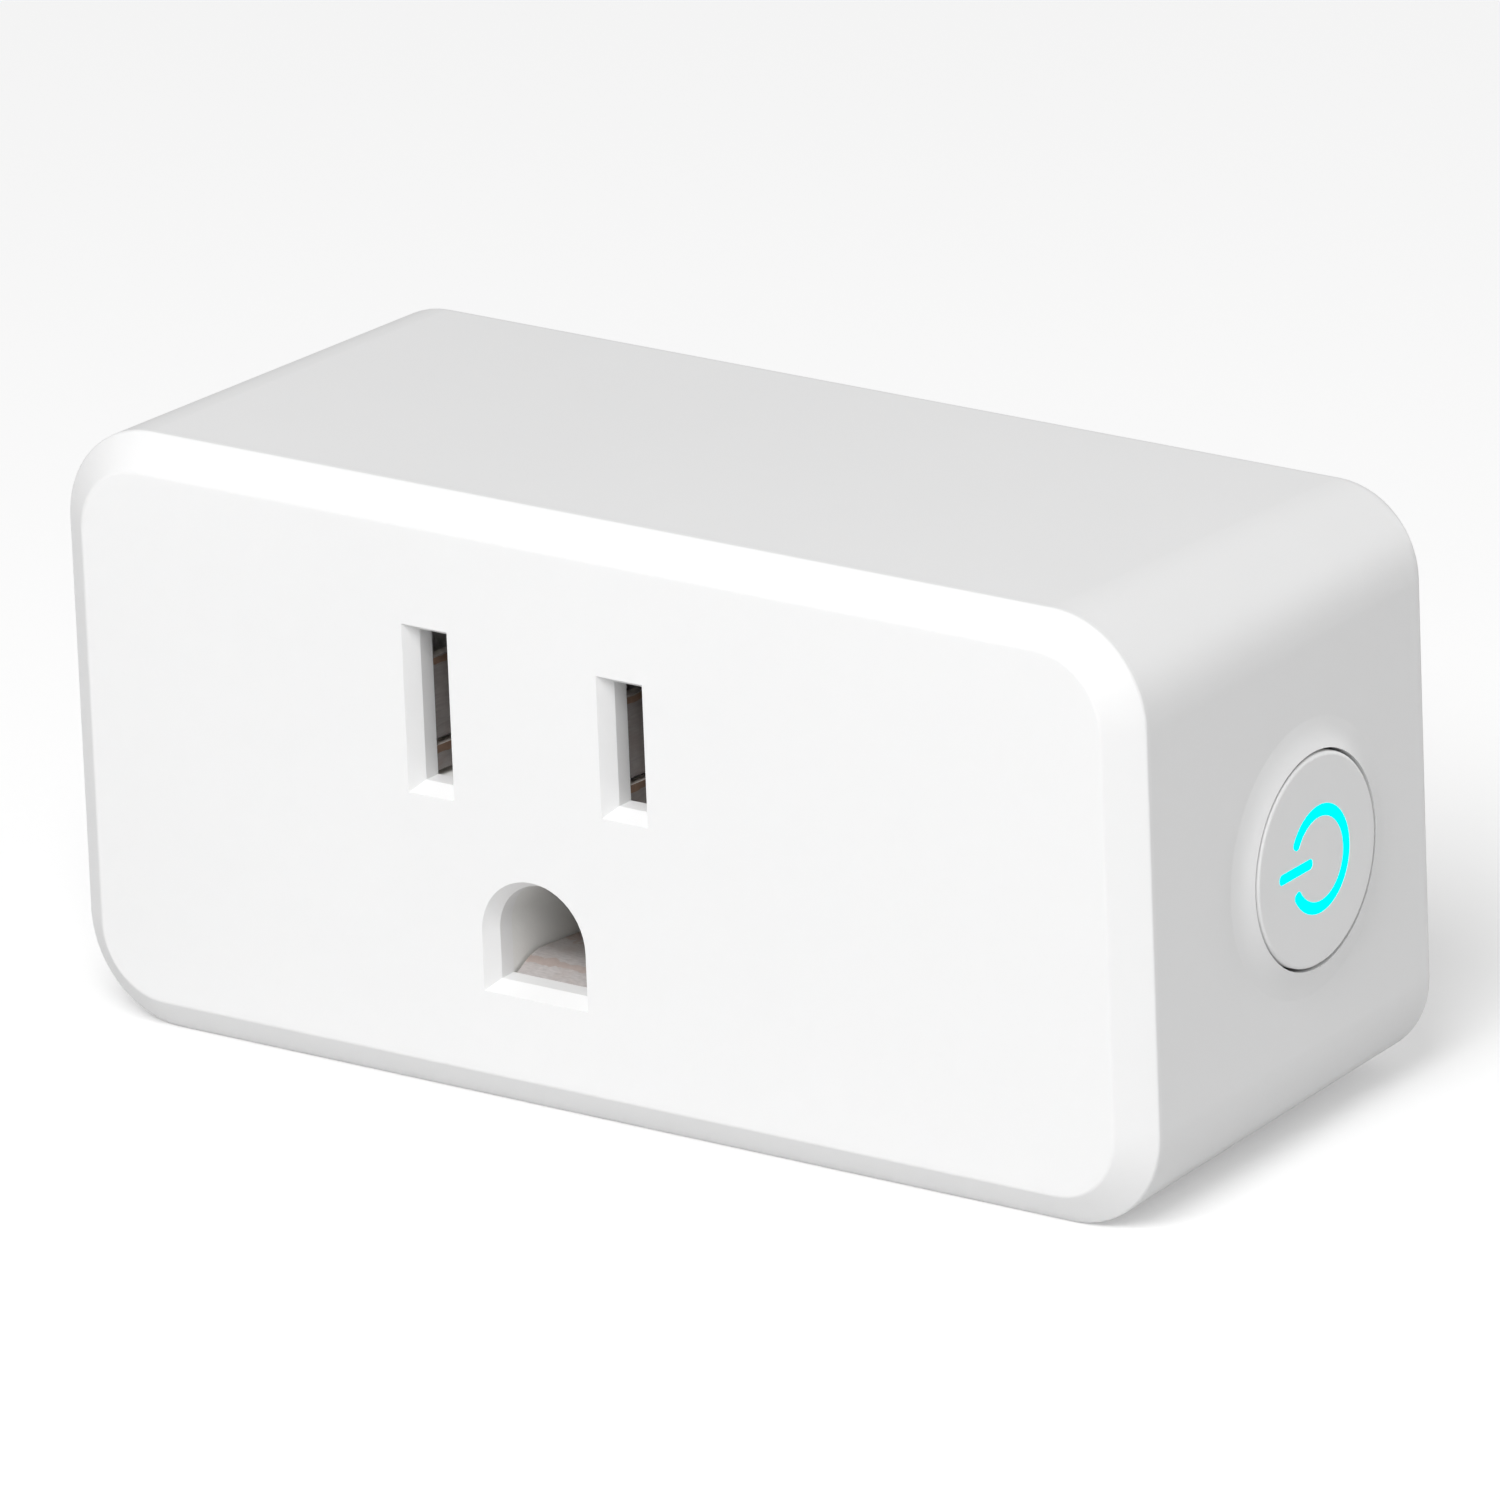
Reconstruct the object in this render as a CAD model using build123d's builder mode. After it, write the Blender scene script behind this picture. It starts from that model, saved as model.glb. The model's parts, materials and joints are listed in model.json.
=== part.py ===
from build123d import *
from math import atan, cos, degrees, radians, sin, tan
import os

os.makedirs("parts", exist_ok=True)

# A wall-mounted smart plug. The origin is midway between the two flat blades, on the wall face.
# +X is the button side, +Y points into the wall and +Z is up. Depths count from the wall face
# towards the front, along -Y, so Plane.XZ.offset(depth) is a plane parallel to the wall.

# Housing
body_width = 70.0
body_height = 34.0
body_depth = 29.0
body_x = 4.0
body_z = -4.8
corner_radius = 5.8
wall = 2.0
draft_angle = 1.9
rear_edge_radius = 1.0
near = 0.01

# Front cover
bevel_inset = 1.9
bevel_depth = 1.5
rim_land = 0.3
cover_thickness = 2.0
face_edge_radius = 0.35
rim_edge_radius = 0.2
skirt_thickness = 1.2
skirt_length = 3.0
skirt_gap = 0.15

# Outlet and plug, to the standard 15 A grounded pattern
blade_x = 6.35
ground_z = -11.89
slot_width = 2.0
neutral_slot_height = 8.5
line_slot_height = 7.0
slot_bevel = 0.5
slot_bevel_depth = 0.95
ground_hole_radius = 2.9
ground_hole_flat = 2.8
blade_thickness = 1.5
neutral_blade_width = 7.9
line_blade_width = 6.35
blade_length = 17.3
blade_tip_length = 1.0
blade_tip_taper = 1.8
blade_tip_edge = 0.45
blade_hole_radius = 1.55
blade_hole_setback = 5.7
ground_pin_radius = 2.375
ground_pin_length = 20.6
ground_pin_tip = 2.1
ground_root_radius = 2.0
ground_root_length = 0.3
shoulder_thickness = 1.5
shoulder_overhang = 1.2
tang_width = 3.0
retainer_size = (15.0, 21.5)
retainer_z = -5.25
ground_tang_radius = 1.2
hole_clearance = 0.05

# Main board
retainer_thickness = 1.5
board_thickness = 1.6
board_back = wall + shoulder_thickness + retainer_thickness
board_front = board_back + board_thickness
board_left = -27.2
board_right = 35.2
board_bottom = -17.8
board_top = 8.2
strap_thickness = 0.6

# Contacts and the block that holds them
sheet = 0.6
carrier_back = 8.0
carrier_floor = 1.0
carrier_front = 27.0
carrier_size = (22.0, 22.8)
carrier_z = -5.8
well_size = (5.7, 9.1)
well_z = 0.05
lightening_size = (5.6, 8.6)
lightening_x = 7.2
lightening_z = -11.6
contact_base = carrier_back + carrier_floor
contact_bottom = -4.1
contact_top = 2.3
contact_half_width = 2.3
mouth_half_width = 1.35
throat_half_width = 0.92
throat_depth = 22.6
shoulder_depth = 14.0
finger_root_depth = 12.0
contact_front = 26.9
finger_gap = 0.4
finger_gap_z = -2.5
tail_x = blade_x + contact_half_width
tail_z = -0.9
tail_width = 2.4
ground_leaf_width = 5.5
ground_leaf_reach = 3.3
ground_leaf_bend = 13.0
ground_leaf_crest = 25.3
ground_leaf_curve = 3.0

# Power button, on the sloping right side wall
button_setback = 16.6
button_z = -5.45
button_hole_radius = 6.0
button_gap = 0.17
button_travel = 0.4
boss_height = 0.57
boss_radius = 7.8
boss_trim = 0.1
boss_root = 1.0
boss_edge = 0.008
boss_rise = 0.02
boss_crest_slope = 0.6
cap_top = 0.59
symbol_radius = 2.65
symbol_stroke = 0.68
symbol_gap_angle = 27.0
symbol_shift = 0.25
symbol_corner = 0.27
bar_width = 0.6
bar_length = 3.3
bar_x = -2.35
button_board_face = -8.3
button_board_thickness = 1.0

# Relay
relay_x = 19.6
relay_z = -2.0
relay_length = 19.0
relay_width = 15.2
relay_height = 15.5
armature_lift = 3.3

seam_depth = body_depth - bevel_depth - rim_land
plate_back = body_depth - cover_thickness
button_depth = body_depth - button_setback
side_x = body_x + body_width / 2 - (seam_depth - button_depth) * tan(radians(draft_angle))
side_plane = Plane(
    origin=(side_x, -button_depth, button_z),
    x_dir=(-sin(radians(draft_angle)), cos(radians(draft_angle)), 0),
    z_dir=(cos(radians(draft_angle)), sin(radians(draft_angle)), 0),
)
side_section = Plane(
    origin=side_plane.origin,
    x_dir=side_plane.x_dir,
    z_dir=side_plane.x_dir.cross(side_plane.z_dir),
)
side_axis = Axis(side_plane.origin, side_plane.z_dir)
relay_plane = Plane(origin=(relay_x, -board_front, relay_z), x_dir=(0, 0, 1), z_dir=(0, -1, 0))

screw_radius = 1.1
screw_head_radius = 1.8
carrier_screw_radius = 1.0
post_wall = 0.2
board_screw_points = [(-24.8, 6.0), (-25.0, -15.4), (33.0, 5.8), (33.2, -14.6)]
carrier_screw_points = [(x, z) for x in (-9.8, 9.8) for z in (4.4, -15.9)]
lead_radius = 0.35
bulk_capacitor_points = [(-18.3, 3.6), (-18.3, -5.0)]
output_capacitor_point = (-14.4, -13.6)
inductor_point = (-20.3, -13.6)
resistor_point = (18.0, -15.0)
varistor_point = (27.5, -14.8)
coil_pin_reach = 5.6
header_pitch = 2.54
header_pin_width = 0.64
solder_foot_radius = 1.1
solder_tip_radius = 0.45
solder_height = 0.7
header_pin_heights = [header_pitch * step for step in (-2, -1, 0, 1, 2)]


def write_piece(piece, name):
    piece.part.label = name
    export_step(piece.part, f"parts/{name}.step")


def rounded_box(width, height, radius, low, high, at=(0, 0), mode=Mode.ADD):
    """A rounded rectangle in X and Z, standing between two depths."""
    with BuildSketch(Plane.XZ.offset(low)) as outline:
        with Locations(at):
            RectangleRounded(width, height, radius)
    extrude(outline.sketch, amount=high - low, mode=mode)


def plain_box(width, height, low, high, at=(0, 0), mode=Mode.ADD):
    """A rectangle in X and Z, standing between two depths."""
    with BuildSketch(Plane.XZ.offset(low)) as outline:
        with Locations(at):
            Rectangle(width, height)
    extrude(outline.sketch, amount=high - low, mode=mode)


def round_bar(radius, low, high, points, mode=Mode.ADD):
    """Round bars at the given X, Z points, standing between two depths."""
    with BuildSketch(Plane.XZ.offset(low)) as outline:
        with Locations(*points):
            Circle(radius)
    extrude(outline.sketch, amount=high - low, mode=mode)


def ground_outline(radius, flat):
    """The ground hole's outline: an arch over straight sides and a flat bottom."""
    with BuildLine() as outline:
        Polyline(
            (radius, ground_z),
            (radius, ground_z - flat),
            (-radius, ground_z - flat),
            (-radius, ground_z),
        )
        CenterArc((0, ground_z), radius, 0, 180)
    make_face(outline.edges())


# ---------------------------------------------------------------- front cover

skirt_inset = 2 * (wall + skirt_gap)
skirt_width = body_width - skirt_inset
skirt_height = body_height - skirt_inset
skirt_radius = corner_radius - wall - skirt_gap
body_centre = (body_x, body_z)

with BuildPart() as front_cover:
    rounded_box(body_width, body_height, corner_radius, seam_depth, seam_depth + rim_land, body_centre)
    with BuildSketch(Plane.XZ.offset(body_depth - bevel_depth)):
        with Locations(body_centre):
            RectangleRounded(body_width, body_height, corner_radius)
    with BuildSketch(Plane.XZ.offset(body_depth)):
        with Locations(body_centre):
            RectangleRounded(
                body_width - 2 * bevel_inset,
                body_height - 2 * bevel_inset,
                corner_radius - bevel_inset,
            )
    loft(ruled=True)
    face_edges = front_cover.edges().group_by(Axis.Y)[0]
    fillet(face_edges, face_edge_radius)
    rim_y = bevel_depth - body_depth
    rim_edges = front_cover.edges().filter_by_position(Axis.Y, rim_y - near, rim_y + near)
    fillet(rim_edges, rim_edge_radius)
    rounded_box(skirt_width, skirt_height, skirt_radius, plate_back - skirt_length, seam_depth, body_centre)
    rounded_box(
        skirt_width - 2 * skirt_thickness,
        skirt_height - 2 * skirt_thickness,
        skirt_radius - skirt_thickness,
        plate_back - skirt_length,
        plate_back,
        body_centre,
        Mode.SUBTRACT,
    )
    plain_box(slot_width, neutral_slot_height, plate_back, body_depth, (-blade_x, 0), Mode.SUBTRACT)
    plain_box(slot_width, line_slot_height, plate_back, body_depth, (blade_x, 0), Mode.SUBTRACT)
    with BuildSketch(Plane.XZ.offset(plate_back)):
        ground_outline(ground_hole_radius, ground_hole_flat)
    extrude(amount=cover_thickness, mode=Mode.SUBTRACT)
    bevel_angle = degrees(atan(slot_bevel / slot_bevel_depth))
    with BuildSketch(Plane.XZ.offset(body_depth)):
        with Locations((-blade_x, 0)):
            Rectangle(slot_width + 2 * slot_bevel, neutral_slot_height + 2 * slot_bevel)
        with Locations((blade_x, 0)):
            Rectangle(slot_width + 2 * slot_bevel, line_slot_height + 2 * slot_bevel)
        ground_outline(ground_hole_radius + slot_bevel, ground_hole_flat + slot_bevel)
    extrude(amount=-slot_bevel_depth, taper=bevel_angle, mode=Mode.SUBTRACT)
write_piece(front_cover, "front_cover")

# --------------------------------------------------------------- rear housing

seam_plane = Plane(origin=(body_x, -seam_depth, body_z), x_dir=(1, 0, 0), z_dir=(0, 1, 0))

with BuildPart() as rear_housing:
    with BuildSketch(seam_plane):
        RectangleRounded(body_width, body_height, corner_radius)
    extrude(amount=seam_depth, taper=draft_angle)
    fillet(rear_housing.edges().group_by(Axis.Y)[-1], rear_edge_radius)
    with BuildSketch(side_section):
        with BuildLine():
            crest_radius = button_hole_radius - boss_trim
            Polyline(
                (crest_radius, boss_height),
                (crest_radius, -boss_root),
                (boss_radius, -boss_root),
                (boss_radius, -boss_edge),
            )
            Spline(
                (boss_radius, -boss_edge),
                (crest_radius, boss_height),
                tangents=[(-1, boss_rise), (-1, boss_crest_slope)],
            )
        make_face()
    revolve(axis=side_axis)
    with BuildSketch(seam_plane):
        RectangleRounded(body_width - 2 * wall, body_height - 2 * wall, corner_radius - wall)
    extrude(amount=seam_depth - wall, taper=draft_angle, mode=Mode.SUBTRACT)
    with BuildSketch(side_plane.offset(-2 * wall)):
        Circle(button_hole_radius)
    extrude(amount=3 * wall, mode=Mode.SUBTRACT)
    plain_box(
        blade_thickness + 2 * hole_clearance,
        neutral_blade_width + 2 * hole_clearance,
        0,
        wall,
        (-blade_x, 0),
        Mode.SUBTRACT,
    )
    plain_box(
        blade_thickness + 2 * hole_clearance,
        line_blade_width + 2 * hole_clearance,
        0,
        wall,
        (blade_x, 0),
        Mode.SUBTRACT,
    )
    round_bar(ground_pin_radius + hole_clearance, 0, wall, [(0, ground_z)], Mode.SUBTRACT)
    round_bar(screw_head_radius + post_wall, wall, board_back, board_screw_points)
    round_bar(screw_radius, wall, board_back, board_screw_points, Mode.SUBTRACT)
write_piece(rear_housing, "rear_housing")

# ----------------------------------------------------------------- wall pins


def make_blade(name, x, width):
    """A flat blade with a shoulder behind the wall and a tang that passes through the board."""
    with BuildPart() as blade:
        with BuildSketch(Plane.YZ.offset(x - blade_thickness / 2)):
            with BuildLine():
                Polyline(
                    (-wall, width / 2),
                    (blade_length - blade_tip_length, width / 2),
                    (blade_length, width / 2 - blade_tip_taper),
                    (blade_length, -width / 2 + blade_tip_taper),
                    (blade_length - blade_tip_length, -width / 2),
                    (-wall, -width / 2),
                    close=True,
                )
            make_face()
            with Locations((-wall - shoulder_thickness / 2, 0)):
                Rectangle(shoulder_thickness, width + 2 * shoulder_overhang)
            with Locations((-(wall + shoulder_thickness + board_front + strap_thickness) / 2, 0)):
                Rectangle(board_front + strap_thickness - wall - shoulder_thickness, tang_width)
        extrude(amount=blade_thickness)
        tip_edges = blade.edges().group_by(Axis.Y)[-1].filter_by(Axis.Z)
        chamfer(tip_edges, blade_tip_edge)
        with BuildSketch(Plane.YZ.offset(x - blade_thickness)):
            with Locations((blade_length - blade_hole_setback, 0)):
                Circle(blade_hole_radius)
        extrude(amount=2 * blade_thickness, mode=Mode.SUBTRACT)
    write_piece(blade, name)


make_blade("neutral_blade", -blade_x, neutral_blade_width)
make_blade("line_blade", blade_x, line_blade_width)

with BuildPart() as ground_pin:
    round_bar(ground_pin_radius, -ground_pin_length, -ground_root_length, [(0, ground_z)])
    fillet(ground_pin.edges().group_by(Axis.Y)[-1], ground_pin_tip)
    round_bar(ground_root_radius, -ground_root_length, wall, [(0, ground_z)])
    round_bar(ground_pin_radius + shoulder_overhang, wall, wall + shoulder_thickness, [(0, ground_z)])
    round_bar(ground_tang_radius, wall + shoulder_thickness, contact_base + sheet, [(0, ground_z)])
write_piece(ground_pin, "ground_pin")

tang_holes = [(-blade_x, 0), (blade_x, 0)]

with BuildPart() as blade_retainer:
    rounded_box(*retainer_size, 1.5, wall + shoulder_thickness, board_back, (0, retainer_z))
    with BuildSketch(Plane.XZ.offset(wall)):
        with Locations(*tang_holes):
            Rectangle(blade_thickness + 2 * hole_clearance, tang_width + 2 * hole_clearance)
        with Locations((0, ground_z)):
            Circle(ground_tang_radius + hole_clearance)
    extrude(amount=board_back, mode=Mode.SUBTRACT)
write_piece(blade_retainer, "blade_retainer")

# ----------------------------------------------------------- female contacts


def make_blade_contact(name, x, side):
    """A folded spring contact: a base web and two leaves, each split into a tall and a short finger."""
    with BuildPart() as contact:
        with BuildSketch(Plane.XY.offset(contact_bottom)):
            with BuildLine():
                web = -contact_base - sheet / 2
                Polyline(
                    (x - mouth_half_width, -contact_front),
                    (x - throat_half_width, -throat_depth),
                    (x - contact_half_width, -shoulder_depth),
                    (x - contact_half_width, web),
                    (x + contact_half_width, web),
                    (x + contact_half_width, -shoulder_depth),
                    (x + throat_half_width, -throat_depth),
                    (x + mouth_half_width, -contact_front),
                )
            trace(line_width=sheet)
        extrude(amount=contact_top - contact_bottom)
        plain_box(
            3 * contact_half_width,
            finger_gap,
            finger_root_depth,
            body_depth,
            (x, finger_gap_z),
            Mode.SUBTRACT,
        )
        plain_box(sheet, tail_width, board_back, contact_base + sheet, (side * tail_x, tail_z))
    write_piece(contact, name)


make_blade_contact("neutral_contact", -blade_x, -1)
make_blade_contact("line_contact", blade_x, 1)

ground_leaf_low = ground_z - ground_leaf_reach
ground_leaf_high = ground_z + ground_leaf_reach

with BuildPart() as ground_contact:
    with BuildSketch(Plane.YZ.offset(-ground_leaf_width / 2)):
        with BuildLine():
            FilletPolyline(
                (-contact_front, ground_leaf_low + 0.15),
                (-ground_leaf_crest, ground_leaf_low + 0.98),
                (-ground_leaf_bend, ground_leaf_low),
                (-contact_base - sheet / 2, ground_leaf_low),
                radius=ground_leaf_curve,
            )
            Polyline(
                (-contact_base - sheet / 2, ground_leaf_low),
                (-contact_base - sheet / 2, ground_leaf_high),
                (-ground_leaf_bend, ground_leaf_high),
                (-ground_leaf_bend - 5.0, ground_leaf_high - 0.7),
            )
        trace(line_width=sheet)
    extrude(amount=ground_leaf_width)
    round_bar(
        ground_tang_radius + hole_clearance,
        carrier_back,
        contact_base + 1,
        [(0, ground_z)],
        Mode.SUBTRACT,
    )
write_piece(ground_contact, "ground_contact")

with BuildPart() as contact_carrier:
    rounded_box(*carrier_size, 1.0, carrier_back, carrier_front, (0, carrier_z))
    for x in (-blade_x, blade_x):
        plain_box(*well_size, contact_base, carrier_front, (x, well_z), Mode.SUBTRACT)
    with BuildSketch(Plane.XZ.offset(contact_base)):
        ground_outline(ground_hole_radius, ground_hole_flat + 0.95)
    extrude(amount=carrier_front, mode=Mode.SUBTRACT)
    plain_box(6.0, 7.8, contact_base, 19.0, (0, ground_z), Mode.SUBTRACT)
    for x in (-lightening_x, lightening_x):
        plain_box(*lightening_size, contact_base, carrier_front, (x, lightening_z), Mode.SUBTRACT)
    for side in (-1, 1):
        plain_box(
            sheet + 2 * hole_clearance,
            tail_width + 2 * hole_clearance,
            carrier_back,
            contact_base,
            (side * tail_x, tail_z),
            Mode.SUBTRACT,
        )
    round_bar(ground_tang_radius + hole_clearance, carrier_back, contact_base, [(0, ground_z)], Mode.SUBTRACT)
    round_bar(carrier_screw_radius + 3 * post_wall, board_front, carrier_back, carrier_screw_points)
    round_bar(carrier_screw_radius, board_front, contact_base, carrier_screw_points, Mode.SUBTRACT)
write_piece(contact_carrier, "contact_carrier")

# ------------------------------------------------------------------- screws


recess_length = 2.0
recess_width = 0.5


def make_screws(name, shank_radius, head_radius, head_height, head_depth, tip_depth, points):
    """Pan-head screws in one node; the head stands on head_depth, away from tip_depth."""
    outward = 1 if head_depth > tip_depth else -1
    with BuildPart() as screws:
        round_bar(shank_radius, head_depth, tip_depth, points)
        round_bar(head_radius, head_depth, head_depth + outward * head_height, points)
        with BuildSketch(Plane.XZ.offset(head_depth + outward * head_height)):
            with Locations(*points):
                Rectangle(recess_length, recess_width)
                Rectangle(recess_width, recess_length)
        extrude(amount=-outward * recess_width, mode=Mode.SUBTRACT)
    write_piece(screws, name)


make_screws("board_screws", screw_radius, screw_head_radius, 1.2, board_front, wall, board_screw_points)
make_screws(
    "carrier_screws", carrier_screw_radius, 1.5, 0.9, board_back, contact_base, carrier_screw_points
)

# --------------------------------------------------------------- main board

relay_pin_points = {
    "common": (relay_x, relay_z - 7.9),
    "fixed": (relay_x, relay_z + 8.3),
    "coil_left": (relay_x - coil_pin_reach, relay_z + 6.0),
    "coil_right": (relay_x + coil_pin_reach, relay_z + 6.0),
}
capacitor_leads = [(x + step, z) for x, z in bulk_capacitor_points for step in (-1.75, 1.75)]
small_leads = [(output_capacitor_point[0] + step, output_capacitor_point[1]) for step in (-1.0, 1.0)]
inductor_leads = [(inductor_point[0] + step, inductor_point[1]) for step in (-2.2, 2.2)]
resistor_leads = [(resistor_point[0] + step, resistor_point[1]) for step in (-5.4, 5.4)]
varistor_leads = [(varistor_point[0] + step, varistor_point[1]) for step in (-2.5, 2.5)]
lead_points = capacitor_leads + small_leads + inductor_leads + resistor_leads + varistor_leads
header_x = side_x - 10.3 * cos(radians(draft_angle)) - 5.9 * sin(radians(draft_angle))
header_points = [(header_x, button_z + height) for height in header_pin_heights]
tail_points = [(side * tail_x, tail_z) for side in (-1, 1)]
tang_hole = (blade_thickness + 2 * hole_clearance, tang_width + 2 * hole_clearance)
tail_hole = (sheet + 2 * hole_clearance, tail_width + 2 * hole_clearance)

# The pressed button's flange passes the board's right edge, which is notched for it.
notch_x = side_x - 3.9 - button_travel
notch_height = 2 * (button_hole_radius + 1.6)

with BuildPart() as main_board:
    rounded_box(
        board_right - board_left,
        board_top - board_bottom,
        2.5,
        board_back,
        board_front,
        ((board_left + board_right) / 2, (board_bottom + board_top) / 2),
    )
    with BuildSketch(Plane.XZ.offset(board_back)):
        with Locations((notch_x + board_right / 2, button_z)):
            Rectangle(board_right, notch_height)
        with Locations(*tang_holes):
            Rectangle(*tang_hole)
        with Locations((0, ground_z)):
            Circle(ground_tang_radius + hole_clearance)
        with Locations(*tail_points):
            Rectangle(*tail_hole)
        with Locations(*board_screw_points):
            Circle(screw_radius)
        with Locations(*carrier_screw_points):
            Circle(carrier_screw_radius)
        with Locations(*lead_points, relay_pin_points["coil_left"], relay_pin_points["coil_right"]):
            Circle(lead_radius + hole_clearance)
        with Locations(relay_pin_points["common"]):
            Rectangle(0.7, 2.1)
        with Locations(relay_pin_points["fixed"]):
            Rectangle(2.1, 0.7)
        with Locations(*header_points):
            Rectangle(1.1, 0.9)
    extrude(amount=board_thickness, mode=Mode.SUBTRACT)
write_piece(main_board, "main_board")

solder_points = lead_points + tail_points + list(relay_pin_points.values()) + header_points

with BuildPart() as solder_joints:
    with Locations(*[Plane((x, -board_back, z), z_dir=(0, 1, 0)) for x, z in solder_points]):
        Cone(
            solder_foot_radius,
            solder_tip_radius,
            solder_height,
            align=(Align.CENTER, Align.CENTER, Align.MIN),
        )
write_piece(solder_joints, "solder_joints")


def make_strap(name, low_x, high_x, centre_z, height, hole_width, hole_height, hole_point):
    """A flat brass strap on the board's front face, with a hole for the pin it is soldered to."""
    with BuildPart() as strap:
        rounded_box(
            high_x - low_x,
            height,
            0.5,
            board_front,
            board_front + strap_thickness,
            ((low_x + high_x) / 2, centre_z),
        )
        plain_box(
            hole_width, hole_height, board_front, board_front + strap_thickness, hole_point, Mode.SUBTRACT
        )
    write_piece(strap, name)


make_strap("line_in_strap", 4.9, 7.9, 0.0, 4.6, *tang_hole, (blade_x, 0))
make_strap("line_out_strap", 8.1, 11.8, tail_z, 4.0, *tail_hole, (tail_x, tail_z))

# -------------------------------------------------------------------- relay

case_wall = 0.5
base_thickness = 1.6
foot_thickness = 1.0
coil_offset = -1.5
yoke_inner = -7.4
yoke_outer = -8.4
yoke_width = 6.4
yoke_top = 12.3
yoke_edge_radius = 0.3
lower_flange = base_thickness + foot_thickness
bobbin_flange = 10.5
flange_thickness = 0.8
upper_flange = 11.0
core_radius = 1.5
pole_radius = 2.7
pole_top = 12.2
contact_reach = 6.9
pin_end = -board_thickness


def relay_box(length, width, low, high, centre=(0, 0), mode=Mode.ADD):
    """A box in the relay's own plane, standing between two heights above the board."""
    with BuildSketch(relay_plane.offset(low)) as outline:
        with Locations(centre):
            Rectangle(length, width)
    extrude(outline.sketch, amount=high - low, mode=mode)


def relay_bar(radius, low, high, points, mode=Mode.ADD):
    """Round bars in the relay's own plane, standing between two heights above the board."""
    with BuildSketch(relay_plane.offset(low)) as outline:
        with Locations(*points):
            Circle(radius)
    extrude(outline.sketch, amount=high - low, mode=mode)


coil_pin_spots = [(6.0, -coil_pin_reach), (6.0, coil_pin_reach)]
coil_axis_spot = [(coil_offset, 0)]

with BuildPart() as relay_base:
    relay_box(relay_length - 2 * case_wall, relay_width - 2 * case_wall, 0, base_thickness)
    relay_box(2.0, 0.6, 0, base_thickness, (-7.9, 0), Mode.SUBTRACT)
    relay_box(0.6, 2.0, 0, base_thickness, (8.3, 0), Mode.SUBTRACT)
    relay_bar(lead_radius, 0, base_thickness, coil_pin_spots, Mode.SUBTRACT)
write_piece(relay_base, "relay_base")

with BuildPart() as relay_case:
    with BuildSketch(relay_plane):
        RectangleRounded(relay_length, relay_width, 0.8)
    extrude(amount=relay_height)
    fillet(relay_case.edges().group_by(Axis.Y)[0], 0.4)
    relay_box(
        relay_length - 2 * case_wall,
        relay_width - 2 * case_wall,
        0,
        relay_height - case_wall,
        (0, 0),
        Mode.SUBTRACT,
    )
write_piece(relay_case, "relay_case")

with BuildPart() as relay_yoke:
    relay_box(9.4, yoke_width, base_thickness, lower_flange, (coil_offset - 2.2, 0))
    yoke_middle = (yoke_inner + yoke_outer) / 2
    relay_box(yoke_inner - yoke_outer, yoke_width, base_thickness, yoke_top, (yoke_middle, 0))
    relay_box(2.0, 0.6, pin_end, base_thickness, (-7.9, 0))
    relay_bar(core_radius, base_thickness, lower_flange, coil_axis_spot, Mode.SUBTRACT)
    top_edges = relay_yoke.edges().group_by(Axis.Y)[0].filter_by(Axis.X)
    fillet(top_edges.sort_by(Axis.Z)[-1], yoke_edge_radius)
write_piece(relay_yoke, "relay_yoke")

with BuildPart() as relay_core:
    relay_bar(core_radius, base_thickness, upper_flange + flange_thickness, coil_axis_spot)
    relay_bar(pole_radius, upper_flange + flange_thickness, pole_top, coil_axis_spot)
write_piece(relay_core, "relay_core")

with BuildPart() as relay_bobbin:
    relay_box(bobbin_flange, bobbin_flange, lower_flange, lower_flange + flange_thickness, (coil_offset, 0))
    relay_box(bobbin_flange, bobbin_flange, upper_flange, upper_flange + flange_thickness, (coil_offset, 0))
    relay_bar(core_radius + 0.6, lower_flange, upper_flange, coil_axis_spot)
    relay_bar(core_radius, lower_flange, upper_flange + flange_thickness, coil_axis_spot, Mode.SUBTRACT)
write_piece(relay_bobbin, "relay_bobbin")

with BuildPart() as relay_coil:
    relay_bar(4.7, lower_flange + flange_thickness, upper_flange, coil_axis_spot)
    relay_bar(core_radius + 0.6, lower_flange + flange_thickness, upper_flange, coil_axis_spot, Mode.SUBTRACT)
write_piece(relay_coil, "relay_coil")

with BuildPart() as relay_coil_pins:
    relay_bar(lead_radius, pin_end, lower_flange + 1.5, coil_pin_spots)
write_piece(relay_coil_pins, "relay_coil_pins")

with BuildPart() as relay_fixed_contact:
    relay_box(0.6, 2.0, pin_end, 11.6, (8.3, 0))
    relay_box(3.6, 2.0, 11.0, 11.6, (6.8, 0))
    relay_bar(1.2, 11.6, 12.35, [(contact_reach, 0)])
write_piece(relay_fixed_contact, "relay_fixed_contact")

# The armature rests tipped open on the yoke's rounded edge; its plane leans by armature_lift.
hinge_spot = yoke_inner - yoke_edge_radius
hinge_point = relay_plane.from_local_coords((hinge_spot, 0, yoke_top - yoke_edge_radius))
armature_plane = Plane(
    origin=hinge_point,
    x_dir=(0, -sin(radians(armature_lift)), cos(radians(armature_lift))),
    z_dir=(0, -cos(radians(armature_lift)), -sin(radians(armature_lift))),
)
armature_under = yoke_edge_radius + 0.05
armature_thickness = 1.0
armature_length = 11.6
spring_under = armature_under + armature_thickness
spring_thickness = 0.25
spring_length = 14.8
contact_drop = 0.85

with BuildPart() as relay_armature:
    with BuildSketch(armature_plane.offset(armature_under)):
        with Locations((armature_length / 2 - 0.5, 0)):
            Rectangle(armature_length, yoke_width)
    extrude(amount=armature_thickness)
write_piece(relay_armature, "relay_armature")

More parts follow.
